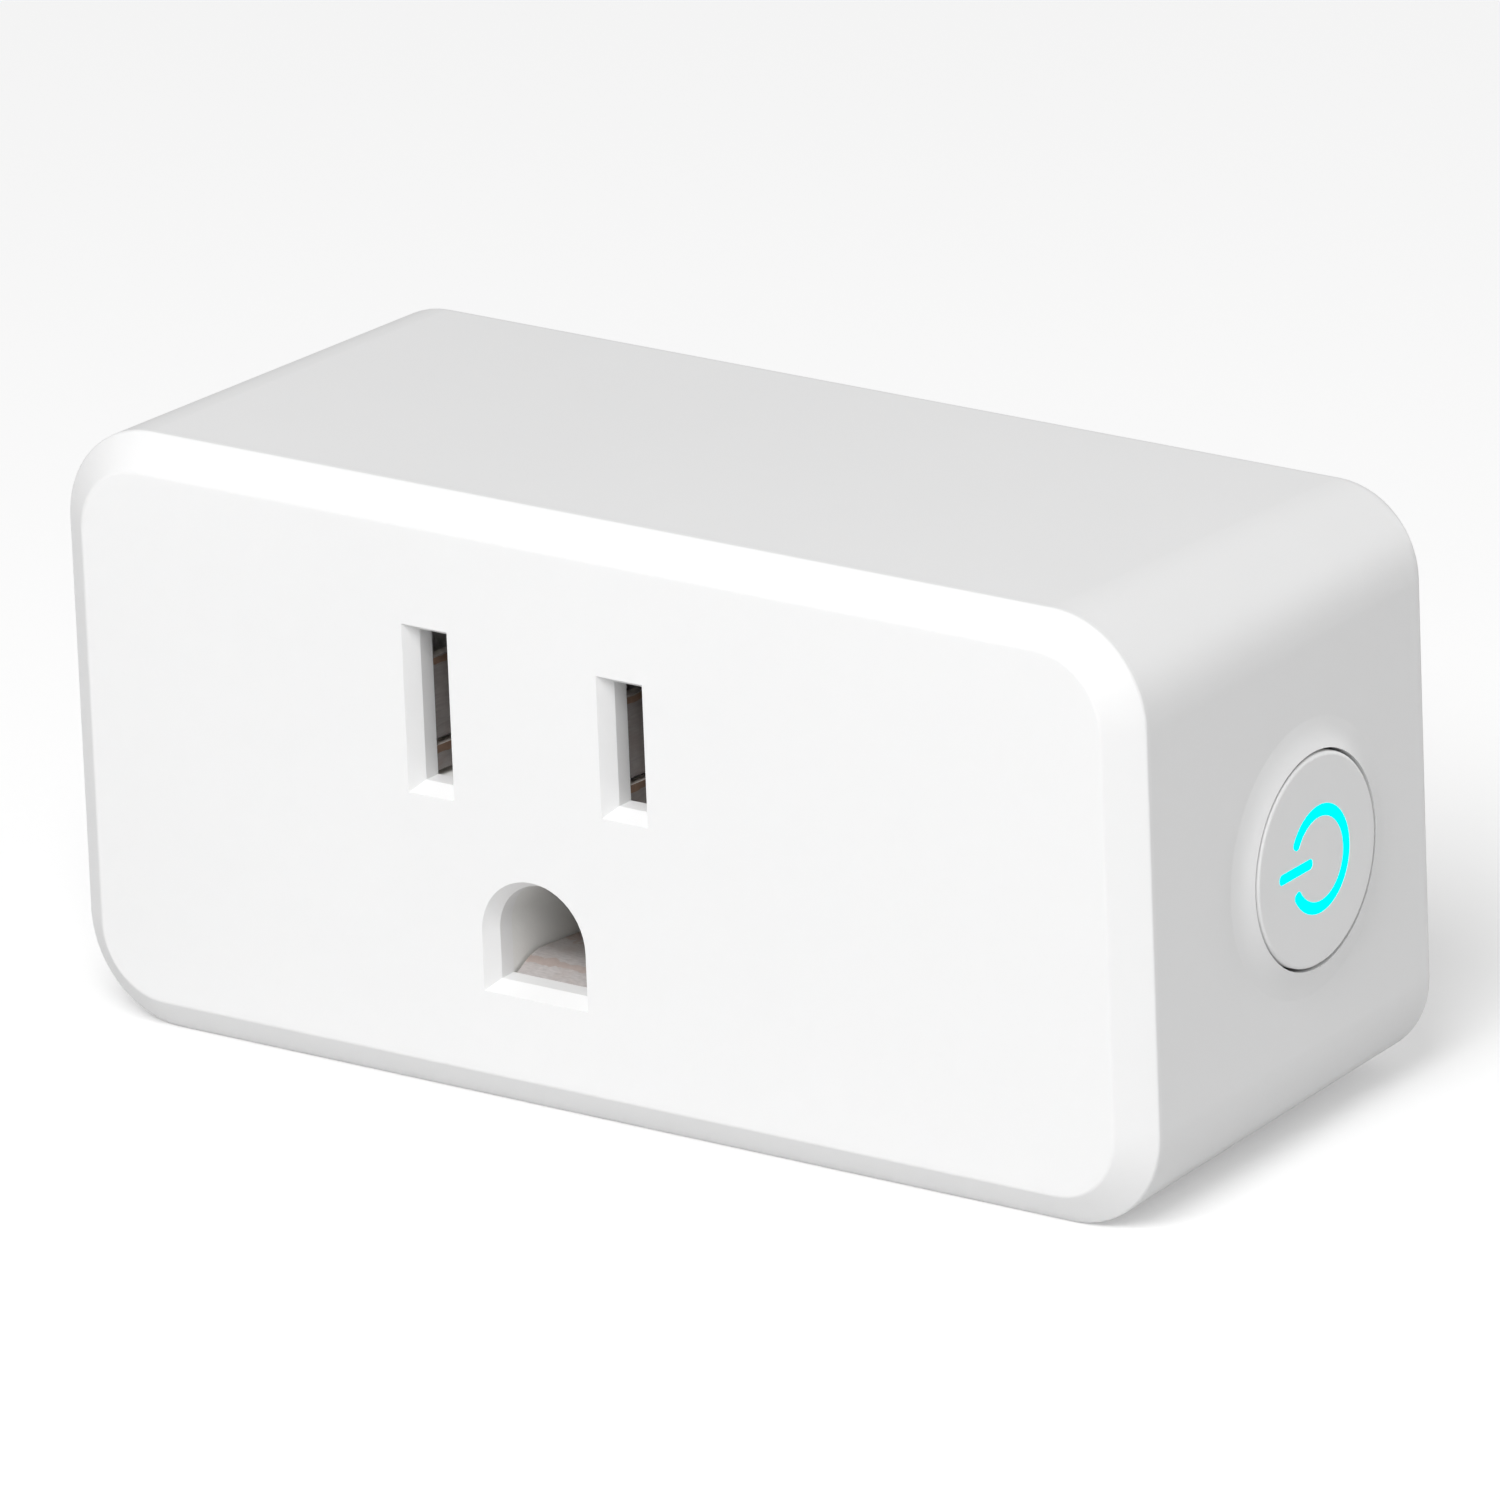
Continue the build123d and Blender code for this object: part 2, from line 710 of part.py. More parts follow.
with BuildPart() as relay_contact_spring:
    with BuildSketch(armature_plane.offset(spring_under)):
        with Locations((spring_length / 2 + 0.9, 0)):
            RectangleRounded(spring_length, 3.6, 0.8)
    extrude(amount=spring_thickness)
    with BuildSketch(armature_plane.offset(spring_under)):
        with Locations((contact_reach - hinge_spot, 0)):
            Circle(1.2)
    extrude(amount=-contact_drop)
write_piece(relay_contact_spring, "relay_contact_spring")

# ------------------------------------------------------------- power supply


def make_capacitor(name, point, radius, length, lead_step):
    """A radial can on a rubber bung, with a rolled neck, a vented top and two leads."""
    can_foot = board_front + 0.2
    bung_top = board_front + 1.4
    can_top = board_front + length
    vent_length = 1.3 * radius
    vent_width = 0.3
    with BuildPart() as can:
        round_bar(radius - 0.25, can_foot, bung_top, [point])
        round_bar(radius, bung_top, can_top, [point])
        fillet(can.edges().group_by(Axis.Y)[0], 0.5)
        with BuildSketch(Plane.XZ.offset(can_top)) as vent:
            with Locations(point):
                Rectangle(vent_length, vent_width)
                Rectangle(vent_width, vent_length)
        extrude(vent.sketch, amount=-0.2, mode=Mode.SUBTRACT)
        leads = [(point[0] + side * lead_step, point[1]) for side in (-1, 1)]
        round_bar(lead_radius, board_back, can_foot, leads)
    write_piece(can, name)


for number, point in enumerate(bulk_capacitor_points, 1):
    make_capacitor(f"bulk_capacitor_{number}", point, 4.0, 12.0, 1.75)
make_capacitor("output_capacitor", output_capacitor_point, 2.5, 8.5, 1.0)

drum_radius = 3.0
drum_core_radius = 1.5
drum_foot = board_front + 0.2
drum_flange = 1.2
winding_low = drum_foot + drum_flange
winding_high = winding_low + 5.6

with BuildPart() as inductor_core:
    round_bar(drum_radius, drum_foot, winding_low, [inductor_point])
    round_bar(drum_core_radius, winding_low, winding_high, [inductor_point])
    round_bar(drum_radius, winding_high, winding_high + drum_flange, [inductor_point])
write_piece(inductor_core, "inductor_core")

with BuildPart() as inductor_winding:
    round_bar(drum_radius - 0.4, winding_low, winding_high, [inductor_point])
    round_bar(drum_core_radius, winding_low, winding_high, [inductor_point], Mode.SUBTRACT)
write_piece(inductor_winding, "inductor_winding")

resistor_y = -board_front - 2.6
resistor_half = 4.0
cap_inner = 2.2
waist_inner = 1.7
cap_outline = resistor_y - 1.6
waist_outline = resistor_y - 1.4

with BuildPart() as fusible_resistor:
    with BuildSketch(Plane.XY.offset(resistor_point[1])):
        with BuildLine():
            Polyline(
                (resistor_point[0] - resistor_half, resistor_y),
                (resistor_point[0] - resistor_half, cap_outline),
                (resistor_point[0] - cap_inner, cap_outline),
                (resistor_point[0] - waist_inner, waist_outline),
                (resistor_point[0] + waist_inner, waist_outline),
                (resistor_point[0] + cap_inner, cap_outline),
                (resistor_point[0] + resistor_half, cap_outline),
                (resistor_point[0] + resistor_half, resistor_y),
                close=True,
            )
        make_face()
    revolve(axis=Axis((0, resistor_y, resistor_point[1]), (1, 0, 0)))
    with BuildLine() as lead_path:
        FilletPolyline(
            (resistor_leads[0][0], -board_back, resistor_point[1]),
            (resistor_leads[0][0], resistor_y, resistor_point[1]),
            (resistor_leads[1][0], resistor_y, resistor_point[1]),
            (resistor_leads[1][0], -board_back, resistor_point[1]),
            radius=0.6,
        )
    with BuildSketch(Plane(origin=lead_path.line @ 0, z_dir=lead_path.line % 0)):
        Circle(lead_radius)
    sweep(path=lead_path.line)
write_piece(fusible_resistor, "fusible_resistor")

varistor_lift = board_front + 5.2
varistor_radius = 3.6
varistor_thickness = 3.0

with BuildPart() as surge_varistor:
    with BuildSketch(Plane.XY.offset(varistor_point[1] - varistor_thickness / 2)):
        with Locations((varistor_point[0], -varistor_lift)):
            Circle(varistor_radius)
    extrude(amount=varistor_thickness)
    fillet(surge_varistor.edges().filter_by(GeomType.CIRCLE), 0.9)
    round_bar(lead_radius, board_back, varistor_lift - 1.0, varistor_leads)
write_piece(surge_varistor, "surge_varistor")


def make_chip(name, point, length, width, height, lead_count, lead_span):
    """A moulded chip on the board's rear face, with its leads along both long sides."""
    with BuildPart() as chip:
        with BuildSketch(Plane.XZ.offset(board_back - 0.1)) as outline:
            with Locations(point):
                Rectangle(length, width)
        extrude(outline.sketch, amount=-height)
        chamfer(chip.edges().group_by(Axis.Y)[-1], 0.25)
        pitch = length / lead_count
        with BuildSketch(Plane.XZ.offset(board_back)) as feet:
            with Locations(point):
                with GridLocations(pitch, lead_span, lead_count, 2):
                    Rectangle(0.45, 1.3)
        extrude(feet.sketch, amount=-0.35)
    write_piece(chip, name)


make_chip("bridge_rectifier", (-18.0, -0.8), 4.7, 3.8, 1.5, 2, 4.6)
make_chip("power_ic", (-18.0, -9.4), 4.9, 3.9, 1.5, 4, 4.8)
make_chip("voltage_regulator", (-23.8, 1.0), 4.5, 2.5, 1.5, 3, 3.4)
make_chip("relay_driver_transistor", (22.5, 1.8), 2.9, 1.4, 1.1, 2, 2.2)
make_chip("flyback_diode", (16.8, 1.8), 4.3, 2.6, 2.0, 1, 3.2)

with BuildPart() as smd_parts:
    with BuildSketch(Plane.XZ.offset(board_back)):
        with Locations((32.0, -7.0), (-22.8, -6.6)):
            with GridLocations(0, 2.2, 1, 4):
                Rectangle(2.0, 1.25)
        with Locations((18.5, -6.0)):
            with GridLocations(2.6, 2.4, 3, 2):
                Rectangle(1.6, 0.8)
    extrude(amount=-0.55)
write_piece(smd_parts, "smd_parts")

# ------------------------------------------------------------- radio module

module_x = -26.4
module_z = -4.5
module_thickness = 0.8
module_size = (17.0, 15.5)
module_face = module_x + module_thickness
shield_y = -board_front - 6.6
shield_size = (11.0, 13.0)
shield_height = 2.0
shield_wall = 0.2
trace_width = 0.5
trace_thickness = 0.07

with BuildPart() as wifi_module_board:
    with BuildSketch(Plane.YZ.offset(module_x)):
        with Locations((-board_front - module_size[0] / 2, module_z)):
            Rectangle(*module_size)
    extrude(amount=module_thickness)
write_piece(wifi_module_board, "wifi_module_board")

with BuildPart() as wifi_shield:
    with BuildSketch(Plane.YZ.offset(module_face)):
        with Locations((shield_y, module_z)):
            RectangleRounded(*shield_size, 0.6)
    extrude(amount=shield_height)
    fillet(wifi_shield.edges().group_by(Axis.X)[-1], 0.3)
    with BuildSketch(Plane.YZ.offset(module_face)):
        with Locations((shield_y, module_z)):
            Rectangle(shield_size[0] - 2 * shield_wall, shield_size[1] - 2 * shield_wall)
    extrude(amount=shield_height - shield_wall, mode=Mode.SUBTRACT)
write_piece(wifi_shield, "wifi_shield")

with BuildPart() as wifi_antenna:
    with BuildSketch(Plane.YZ.offset(module_face)):
        with BuildLine():
            Polyline(
                (-20.0, -11.0),
                (-23.0, -11.0),
                (-23.0, -9.0),
                (-20.6, -9.0),
                (-20.6, -7.0),
                (-23.0, -7.0),
                (-23.0, -5.0),
                (-20.6, -5.0),
                (-20.6, -3.0),
                (-23.0, -3.0),
                (-23.0, 1.5),
            )
        trace(line_width=trace_width)
    extrude(amount=trace_thickness)
write_piece(wifi_antenna, "wifi_antenna")

# ------------------------------------------------------- button and its board

cap_radius = button_hole_radius - button_gap
cap_thickness = 1.2
cap_edge_radius = 0.22
cap_under = cap_top - cap_thickness
flange_radius = button_hole_radius + 0.9
flange_top = -wall - 0.12
flange_bottom = flange_top - 0.75
lens_radius = 4.4
lens_bottom = cap_under - 1.0
post_radius = 1.1
plunger_top = -4.0
post_end = plunger_top + 0.05


def side_box(length, height, low, high, centre=(0, 0), mode=Mode.ADD):
    """A box in the side wall's plane, standing between two heights along its normal."""
    with BuildSketch(side_plane.offset(low)) as outline:
        with Locations(centre):
            Rectangle(length, height)
    extrude(outline.sketch, amount=high - low, mode=mode)


def side_bar(radius, low, high, points=((0, 0),), mode=Mode.ADD):
    """Round bars in the side wall's plane, standing between two heights along its normal."""
    with BuildSketch(side_plane.offset(low)) as outline:
        with Locations(*points):
            Circle(radius)
    extrude(outline.sketch, amount=high - low, mode=mode)


def power_symbol(low, high, mode=Mode.ADD):
    """A broken ring with a bar in its gap; the gap faces the front of the plug."""
    half_arc = 180 - symbol_gap_angle
    with BuildSketch(side_plane.offset(low)) as symbol:
        with BuildLine() as ring:
            CenterArc((symbol_shift, 0), symbol_radius, -half_arc, 2 * half_arc)
        trace(ring.line, symbol_stroke)
        with Locations((symbol_shift + bar_x, 0)):
            Rectangle(bar_length, bar_width)
        fillet(symbol.vertices(), symbol_corner)
    extrude(symbol.sketch, amount=high - low, mode=mode)


with BuildPart() as power_button:
    side_bar(cap_radius, flange_bottom, cap_top)
    fillet(power_button.edges().group_by(side_axis)[-1], cap_edge_radius)
    side_bar(flange_radius, flange_bottom, flange_top)
    side_bar(lens_radius, flange_bottom, cap_under, mode=Mode.SUBTRACT)
    power_symbol(cap_under, cap_top, Mode.SUBTRACT)
write_piece(power_button, "power_button")

with BuildPart() as power_symbol_lens:
    side_bar(lens_radius, lens_bottom, cap_under)
    side_bar(post_radius, post_end, lens_bottom)
    power_symbol(cap_under, cap_top - near)
write_piece(power_symbol_lens, "power_symbol_lens")

switch_size = 6.0
switch_top = -4.9
switch_cover = 0.3
switch_seat = switch_top - switch_cover
plunger_radius = 1.75
plunger_fit = 0.12
board_under = button_board_face - button_board_thickness
header_offset = 3.5
header_depth = -10.3
header_low = header_depth - header_pin_width / 2
header_high = header_depth + header_pin_width / 2
header_reach = 6.65
led_size = (2.0, 1.6)
led_window = (1.3, 1.2)
led_base = button_board_face + 0.4

with BuildPart() as button_board:
    side_box(14.4, 16.0, board_under, button_board_face, (-2.3, 0.5))
    pin_spots = [(header_offset, height) for height in header_pin_heights]
    with BuildSketch(side_plane.offset(button_board_face)):
        with Locations(*pin_spots):
            Rectangle(header_pin_width, header_pin_width)
    extrude(amount=-button_board_thickness, mode=Mode.SUBTRACT)
write_piece(button_board, "button_board")

with BuildPart() as board_header_pins:
    for height in header_pin_heights:
        side_box(header_pin_width, header_pin_width, header_low, button_board_face, (header_offset, height))
        side_box(
            header_reach - header_offset,
            header_pin_width,
            header_low,
            header_high,
            ((header_reach + header_offset) / 2, height),
        )
write_piece(board_header_pins, "board_header_pins")

with BuildPart() as board_header:
    side_box(2.0, 13.0, header_low - 0.33, board_under, (3.7, 0))
    for height in header_pin_heights:
        side_box(
            header_pin_width,
            header_pin_width,
            header_low,
            button_board_face,
            (header_offset, height),
            Mode.SUBTRACT,
        )
        side_box(
            3.0,
            header_pin_width,
            header_low,
            header_high,
            (header_offset + 1.5, height),
            Mode.SUBTRACT,
        )
write_piece(board_header, "board_header")

with BuildPart() as tact_switch_base:
    side_box(switch_size, switch_size, button_board_face, switch_seat)
    side_bar(plunger_radius + 2 * plunger_fit, switch_seat - 1.0, switch_seat, mode=Mode.SUBTRACT)
write_piece(tact_switch_base, "tact_switch_base")

with BuildPart() as tact_switch_cover:
    side_box(switch_size, switch_size, switch_seat, switch_top)
    side_bar(plunger_radius + plunger_fit, switch_seat, switch_top, mode=Mode.SUBTRACT)
write_piece(tact_switch_cover, "tact_switch_cover")

with BuildPart() as tact_switch_plunger:
    side_bar(plunger_radius, switch_top - 0.7, plunger_top)
    fillet(tact_switch_plunger.edges().group_by(side_axis)[-1], 0.2)
write_piece(tact_switch_plunger, "tact_switch_plunger")

with BuildPart() as status_leds:
    for height in (-4.6, 4.6):
        side_box(*led_size, button_board_face, led_base, (0, height))
        side_box(*led_window, led_base, led_base + 0.5, (0, height))
write_piece(status_leds, "status_leds")
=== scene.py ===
import json
import math

import bmesh
import bpy
from mathutils import Matrix, Vector


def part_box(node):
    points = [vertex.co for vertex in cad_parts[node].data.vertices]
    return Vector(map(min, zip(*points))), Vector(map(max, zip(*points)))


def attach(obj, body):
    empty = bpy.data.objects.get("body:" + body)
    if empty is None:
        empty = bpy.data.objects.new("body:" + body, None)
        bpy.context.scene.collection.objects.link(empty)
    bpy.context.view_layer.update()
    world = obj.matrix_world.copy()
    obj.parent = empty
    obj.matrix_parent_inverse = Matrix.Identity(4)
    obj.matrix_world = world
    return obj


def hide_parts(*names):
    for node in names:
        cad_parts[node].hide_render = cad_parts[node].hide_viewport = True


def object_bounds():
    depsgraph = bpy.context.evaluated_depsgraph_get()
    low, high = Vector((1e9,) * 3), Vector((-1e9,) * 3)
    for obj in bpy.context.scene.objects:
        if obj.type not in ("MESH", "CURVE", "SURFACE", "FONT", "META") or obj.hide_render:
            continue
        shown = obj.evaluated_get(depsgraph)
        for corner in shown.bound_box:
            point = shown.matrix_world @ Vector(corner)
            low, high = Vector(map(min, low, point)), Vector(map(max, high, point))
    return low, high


MM = 0.001

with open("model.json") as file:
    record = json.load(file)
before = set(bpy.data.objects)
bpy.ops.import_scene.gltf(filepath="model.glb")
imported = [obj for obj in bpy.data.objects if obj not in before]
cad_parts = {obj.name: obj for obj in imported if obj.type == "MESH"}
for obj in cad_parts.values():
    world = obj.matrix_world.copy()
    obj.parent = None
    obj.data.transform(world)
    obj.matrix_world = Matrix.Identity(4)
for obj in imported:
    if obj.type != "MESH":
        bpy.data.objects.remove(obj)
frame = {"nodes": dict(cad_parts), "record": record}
cad_low, cad_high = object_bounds()
nodes = frame["nodes"]


# ---------------------------------------------------------- shader shorthand


class Shader:
    """A material's node tree, built from short calls that each return an output socket."""

    def __init__(self, name):
        self.material = bpy.data.materials.new(name)
        self.material.use_nodes = True
        self.tree = self.material.node_tree
        self.tree.nodes.clear()
        self.output = self.tree.nodes.new("ShaderNodeOutputMaterial")
        self.surface = self.tree.nodes.new("ShaderNodeBsdfPrincipled")
        self.tree.links.new(self.surface.outputs[0], self.output.inputs[0])
        self.coordinates = self.tree.nodes.new("ShaderNodeTexCoord")

    def put(self, socket, value):
        """Links a socket or sets a plain value."""
        if isinstance(value, bpy.types.NodeSocket):
            self.tree.links.new(value, socket)
        else:
            socket.default_value = value

    def set(self, **values):
        """Sets the Principled shader's sockets; an underscore in a keyword stands for a space."""
        for key, value in values.items():
            self.put(self.surface.inputs[key.replace("_", " ")], value)

    def math(self, operation, a, b=0.0, clamp=False):
        node = self.tree.nodes.new("ShaderNodeMath")
        node.operation = operation
        node.use_clamp = clamp
        self.put(node.inputs[0], a)
        self.put(node.inputs[1], b)
        return node.outputs[0]

    def place(self, scale=1.0, stretch=(1, 1, 1)):
        """Object coordinates in millimetres, times a scale and a stretch."""
        node = self.tree.nodes.new("ShaderNodeMapping")
        self.put(node.inputs["Vector"], self.coordinates.outputs["Object"])
        node.inputs["Scale"].default_value = [s * scale / MM for s in stretch]
        return node.outputs[0]

    def axes(self):
        """The three object coordinates in metres, as sockets."""
        node = self.tree.nodes.new("ShaderNodeSeparateXYZ")
        self.put(node.inputs[0], self.coordinates.outputs["Object"])
        return node.outputs

    def noise(self, scale, detail=2.0, stretch=(1, 1, 1), distortion=0.0):
        node = self.tree.nodes.new("ShaderNodeTexNoise")
        self.put(node.inputs["Vector"], self.place(scale, stretch))
        node.inputs["Scale"].default_value = 1.0
        node.inputs["Detail"].default_value = detail
        node.inputs["Distortion"].default_value = distortion
        return node.outputs["Fac"]

    def cells(self, scale, feature="F1", metric="EUCLIDEAN", stretch=(1, 1, 1)):
        node = self.tree.nodes.new("ShaderNodeTexVoronoi")
        node.feature = feature
        node.distance = metric
        self.put(node.inputs["Vector"], self.place(scale, stretch))
        node.inputs["Scale"].default_value = 1.0
        return node.outputs["Distance"]

    def waves(self, scale, axis):
        node = self.tree.nodes.new("ShaderNodeTexWave")
        node.bands_direction = axis
        self.put(node.inputs["Vector"], self.place(scale))
        node.inputs["Scale"].default_value = 1.0
        return node.outputs["Fac"]

    def stretch_range(self, value, low, high):
        """Maps 0..1 to low..high."""
        node = self.tree.nodes.new("ShaderNodeMapRange")
        self.put(node.inputs["Value"], value)
        node.inputs["To Min"].default_value = low
        node.inputs["To Max"].default_value = high
        return node.outputs[0]

    def step(self, value, start, end):
        """0 below start, 1 above end, smooth between them."""
        node = self.tree.nodes.new("ShaderNodeMapRange")
        node.interpolation_type = "SMOOTHSTEP"
        self.put(node.inputs["Value"], value)
        node.inputs["From Min"].default_value = start
        node.inputs["From Max"].default_value = end
        return node.outputs[0]

    def length(self, a, b):
        """The length of a two-part vector."""
        return self.math("SQRT", self.math("ADD", self.math("MULTIPLY", a, a), self.math("MULTIPLY", b, b)))

    def mix(self, factor, a, b):
        node = self.tree.nodes.new("ShaderNodeMix")
        node.data_type = "RGBA"
        self.put(node.inputs["Factor"], factor)
        self.put(node.inputs[6], a if isinstance(a, bpy.types.NodeSocket) else (*a, 1))
        self.put(node.inputs[7], b if isinstance(b, bpy.types.NodeSocket) else (*b, 1))
        return node.outputs[2]

    def bump(self, height, distance, strength=1.0, under=None):
        """Adds a bump of the given height in millimetres."""
        node = self.tree.nodes.new("ShaderNodeBump")
        self.put(node.inputs["Height"], height)
        node.inputs["Distance"].default_value = distance * MM
        node.inputs["Strength"].default_value = strength
        if under is not None:
            self.put(node.inputs["Normal"], under)
        return node.outputs[0]

    def facing(self):
        """The three parts of the surface normal in object space, as sockets."""
        node = self.tree.nodes.new("ShaderNodeSeparateXYZ")
        self.put(node.inputs[0], self.coordinates.outputs["Normal"])
        return node.outputs


def shade(color, factor):
    """A lighter or darker colour."""
    return tuple(min(1.0, c * factor) for c in color)


def middle(node):
    """The centre of a node's box, and half its size."""
    low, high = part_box(node)
    return (low + high) / 2, (high - low) / 2


# ----------------------------------------------------------------- materials


def moulded_plastic(name, color, roughness, grain=9.0, depth=0.004, scatter=0.0):
    """Injection-moulded plastic: spark-eroded grain, faint flow tone and uneven sheen."""
    s = Shader(name)
    flow = s.noise(0.06, 2.0)
    grit = s.noise(grain, 3.0)
    pores = s.cells(grain * 0.6)
    sheen = s.stretch_range(s.noise(0.4, 3.0), roughness - 0.03, roughness + 0.03)
    s.set(
        Base_Color=s.mix(flow, shade(color, 0.985), shade(color, 1.01)),
        Roughness=s.math("ADD", sheen, s.stretch_range(grit, -0.02, 0.02)),
        Normal=s.bump(s.math("ADD", grit, s.math("MULTIPLY", pores, 0.5)), depth, 0.6),
    )
    if scatter:
        s.set(Subsurface_Weight=scatter, Subsurface_Scale=1.0 * MM)
        s.surface.inputs["Subsurface Radius"].default_value = (1.2, 1.1, 1.0)
    return s.material


def worked_metal(name, color, roughness, stretch, tarnish, amount=0.35, lines=12.0):
    """Metal with drawing or brushing lines along one axis, patchy tarnish and fine pits."""
    s = Shader(name)
    marks = s.noise(lines, 4.0, stretch)
    patches = s.step(s.noise(0.5, 4.0, distortion=0.6), 0.5, 0.8)
    pits = s.step(s.cells(2.5), 0.02, 0.1)
    tone = s.mix(marks, shade(color, 0.88), shade(color, 1.06))
    s.set(
        Base_Color=s.mix(s.math("MULTIPLY", patches, amount), tone, tarnish),
        Metallic=1.0,
        Roughness=s.math("ADD", s.stretch_range(marks, roughness - 0.04, roughness + 0.08),
                         s.math("MULTIPLY", patches, 0.08)),
        Normal=s.bump(marks, 0.0012, 0.5, s.bump(pits, 0.002, 0.3)),
    )
    return s


COPPER_OXIDE = ((0.11, 0.05, 0.02), (0.36, 0.20, 0.11))
# This pale pink pair is not oxide. It paints the reflection of light on the front of the ground contact's
# hump.
PAINTED_PINK_REFLECTION = ((0.40, 0.30, 0.26), (0.60, 0.50, 0.46))
BAND_WOBBLE = 0.25 * MM
BAND_STRENGTH = 0.75


def plated_strip(node_name, edge_axis, bands=(), tone=1.0, oxide_and_reflection=COPPER_OXIDE):
    """Tin-plated contact strip: rubbed bright on its sheared edges, oxidised copper below them.

    Each band is a top and a bottom, as shares of the node's height. On the line and neutral fingers the
    bands are oxidised copper. On the ground contact's leaf the band is a painted pink reflection of light."""
    s = Shader(f"{node_name}_strip")
    low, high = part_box(node_name)
    drawn = s.noise(9.0, 4.0, (1, 0.1, 1) if edge_axis == 2 else (0.3, 1, 1))
    stain = s.step(s.noise(0.8, 4.0, distortion=0.5), 0.4, 0.75)
    plating = s.mix(drawn, shade((0.22, 0.21, 0.21), tone), shade((0.42, 0.40, 0.395), tone))
    plating = s.mix(s.math("MULTIPLY", stain, 0.4), plating, shade((0.26, 0.21, 0.19), tone))
    # On the ground contact this colour is the painted pink reflection, not copper.
    copper = s.mix(s.noise(2.2, 4.0), *oxide_and_reflection)
    cut = s.step(s.math("ABSOLUTE", s.facing()[edge_axis]), 0.55, 0.8)
    bare = s.math("MULTIPLY", s.noise(0.9, 3.0), 0.2)
    wobble = s.math("MULTIPLY", s.math("SUBTRACT", s.noise(1.5, 2.0), 0.5), BAND_WOBBLE)
    height = s.math("ADD", s.axes()[2], wobble)
    # On the fingers these are bands of oxidised copper. On the ground contact the band is a painted band of
    # reflected light.
    for top, bottom in bands:
        under = s.math("GREATER_THAN", height, low.z + bottom * (high.z - low.z))
        over = s.math("LESS_THAN", height, low.z + top * (high.z - low.z))
        band = s.math("MULTIPLY", s.math("MULTIPLY", under, over), BAND_STRENGTH)
        bare = s.math("MAXIMUM", bare, band)
    rubbed = s.mix(s.noise(3.0, 3.0), (0.52, 0.46, 0.41), (0.78, 0.74, 0.70))
    s.set(
        Base_Color=s.mix(cut, s.mix(bare, plating, copper), rubbed),
        Metallic=0.4,
        Roughness=s.stretch_range(drawn, 0.38, 0.52),
        Normal=s.bump(drawn, 0.008, 0.5),
    )
    return s.material


def wall_pin(name):
    """Nickel-plated brass pin: lengthwise drawing lines, the plating worn warm towards the tip."""
    s = worked_metal(name, (0.82, 0.80, 0.77), 0.2, (1, 0.05, 1), (0.66, 0.60, 0.52), 0.22)
    along = s.math("DIVIDE", s.axes()[1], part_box("ground_pin")[1].y)
    streaks = s.step(s.noise(0.9, 5.0, (1, 0.3, 1)), 0.42, 0.6)
    rubbed = s.math("MULTIPLY", s.step(along, 0.5, 1.0), streaks)
    plating = s.surface.inputs["Base Color"].links[0].from_socket
    s.set(Base_Color=s.mix(s.math("MULTIPLY", rubbed, 0.6), plating, (0.72, 0.56, 0.30)))
    return s.material


POURS_PER_MM = 0.28
VIAS_PER_MM = 0.42
VIA_RING = 0.13
VIA_HOLE = 0.06
COPPER_STEP = 0.01575


def circuit_board(name, mask_color, face_axis):
    """Solder mask over etched copper pours and vias, woven glass, and bare resin at the cut edges."""
    s = Shader(name)
    flat = [axis != face_axis for axis in range(3)]
    nearest = s.cells(POURS_PER_MM, "F1", "CHEBYCHEV", flat)
    margin = s.math("SUBTRACT", s.cells(POURS_PER_MM, "F2", "CHEBYCHEV", flat), nearest)
    pour = s.step(margin, 0.07, 0.11)
    via = s.cells(VIAS_PER_MM, "F1", "EUCLIDEAN", flat)
    ring = s.math("MULTIPLY", s.math("LESS_THAN", via, VIA_RING), pour)
    hole = s.math("MULTIPLY", s.math("LESS_THAN", via, VIA_HOLE), pour)
    weave = s.math("MULTIPLY", s.waves(1.1, "X"), s.waves(1.1, "Z"))
    masked = s.mix(pour, shade(mask_color, 0.55), mask_color)
    masked = s.mix(s.math("MULTIPLY", weave, 0.25), masked, shade(mask_color, 1.3))
    masked = s.mix(ring, masked, (0.56, 0.57, 0.54))
    masked = s.mix(hole, masked, (0.02, 0.03, 0.02))
    layers = s.mix(s.noise(3.0, 3.0, (0.3, 6.0, 0.3)), (0.42, 0.38, 0.20), (0.66, 0.62, 0.40))
    face = s.step(s.math("ABSOLUTE", s.facing()[face_axis]), 0.6, 0.8)
    s.set(
        Base_Color=s.mix(face, layers, masked),
        Roughness=s.stretch_range(face, 0.75, 0.28),
        Normal=s.bump(pour, COPPER_STEP, 0.8, s.bump(weave, 0.006, 0.5)),
        Coat_Weight=0.3,
    )
    s.set(Coat_Roughness=0.2)
    return s.material


def enamelled_wire(name):
    """Copper wire under clear enamel, a little darker where the turns were varnished together."""
    s = Shader(name)
    varnish = s.step(s.noise(0.9, 4.0), 0.4, 0.75)
    copper = s.mix(s.noise(3.0, 3.0), (0.58, 0.22, 0.08), (0.80, 0.37, 0.16))
    s.set(
        Base_Color=s.mix(s.math("MULTIPLY", varnish, 0.5), copper, (0.34, 0.11, 0.04)),
        Metallic=0.8,
        Roughness=s.stretch_range(varnish, 0.22, 0.36),
        Normal=s.bump(s.noise(5.0, 2.0), 0.002, 0.4),
        Coat_Weight=0.6,
    )
    s.set(Coat_Roughness=0.12)
    return s.material


CHIP_LEAD_LENGTH = 0.93 * MM
CAN_CRIMP = 0.75 * MM
CAN_LEAD_START = 0.88
CAN_STRIPE_START = 0.86
RESISTOR_HALF_BODY = 4.02 * MM
RESISTOR_BAND = 0.35 * MM
DISC_BODY = 7.35 * MM
TINNED = (0.74, 0.74, 0.76)


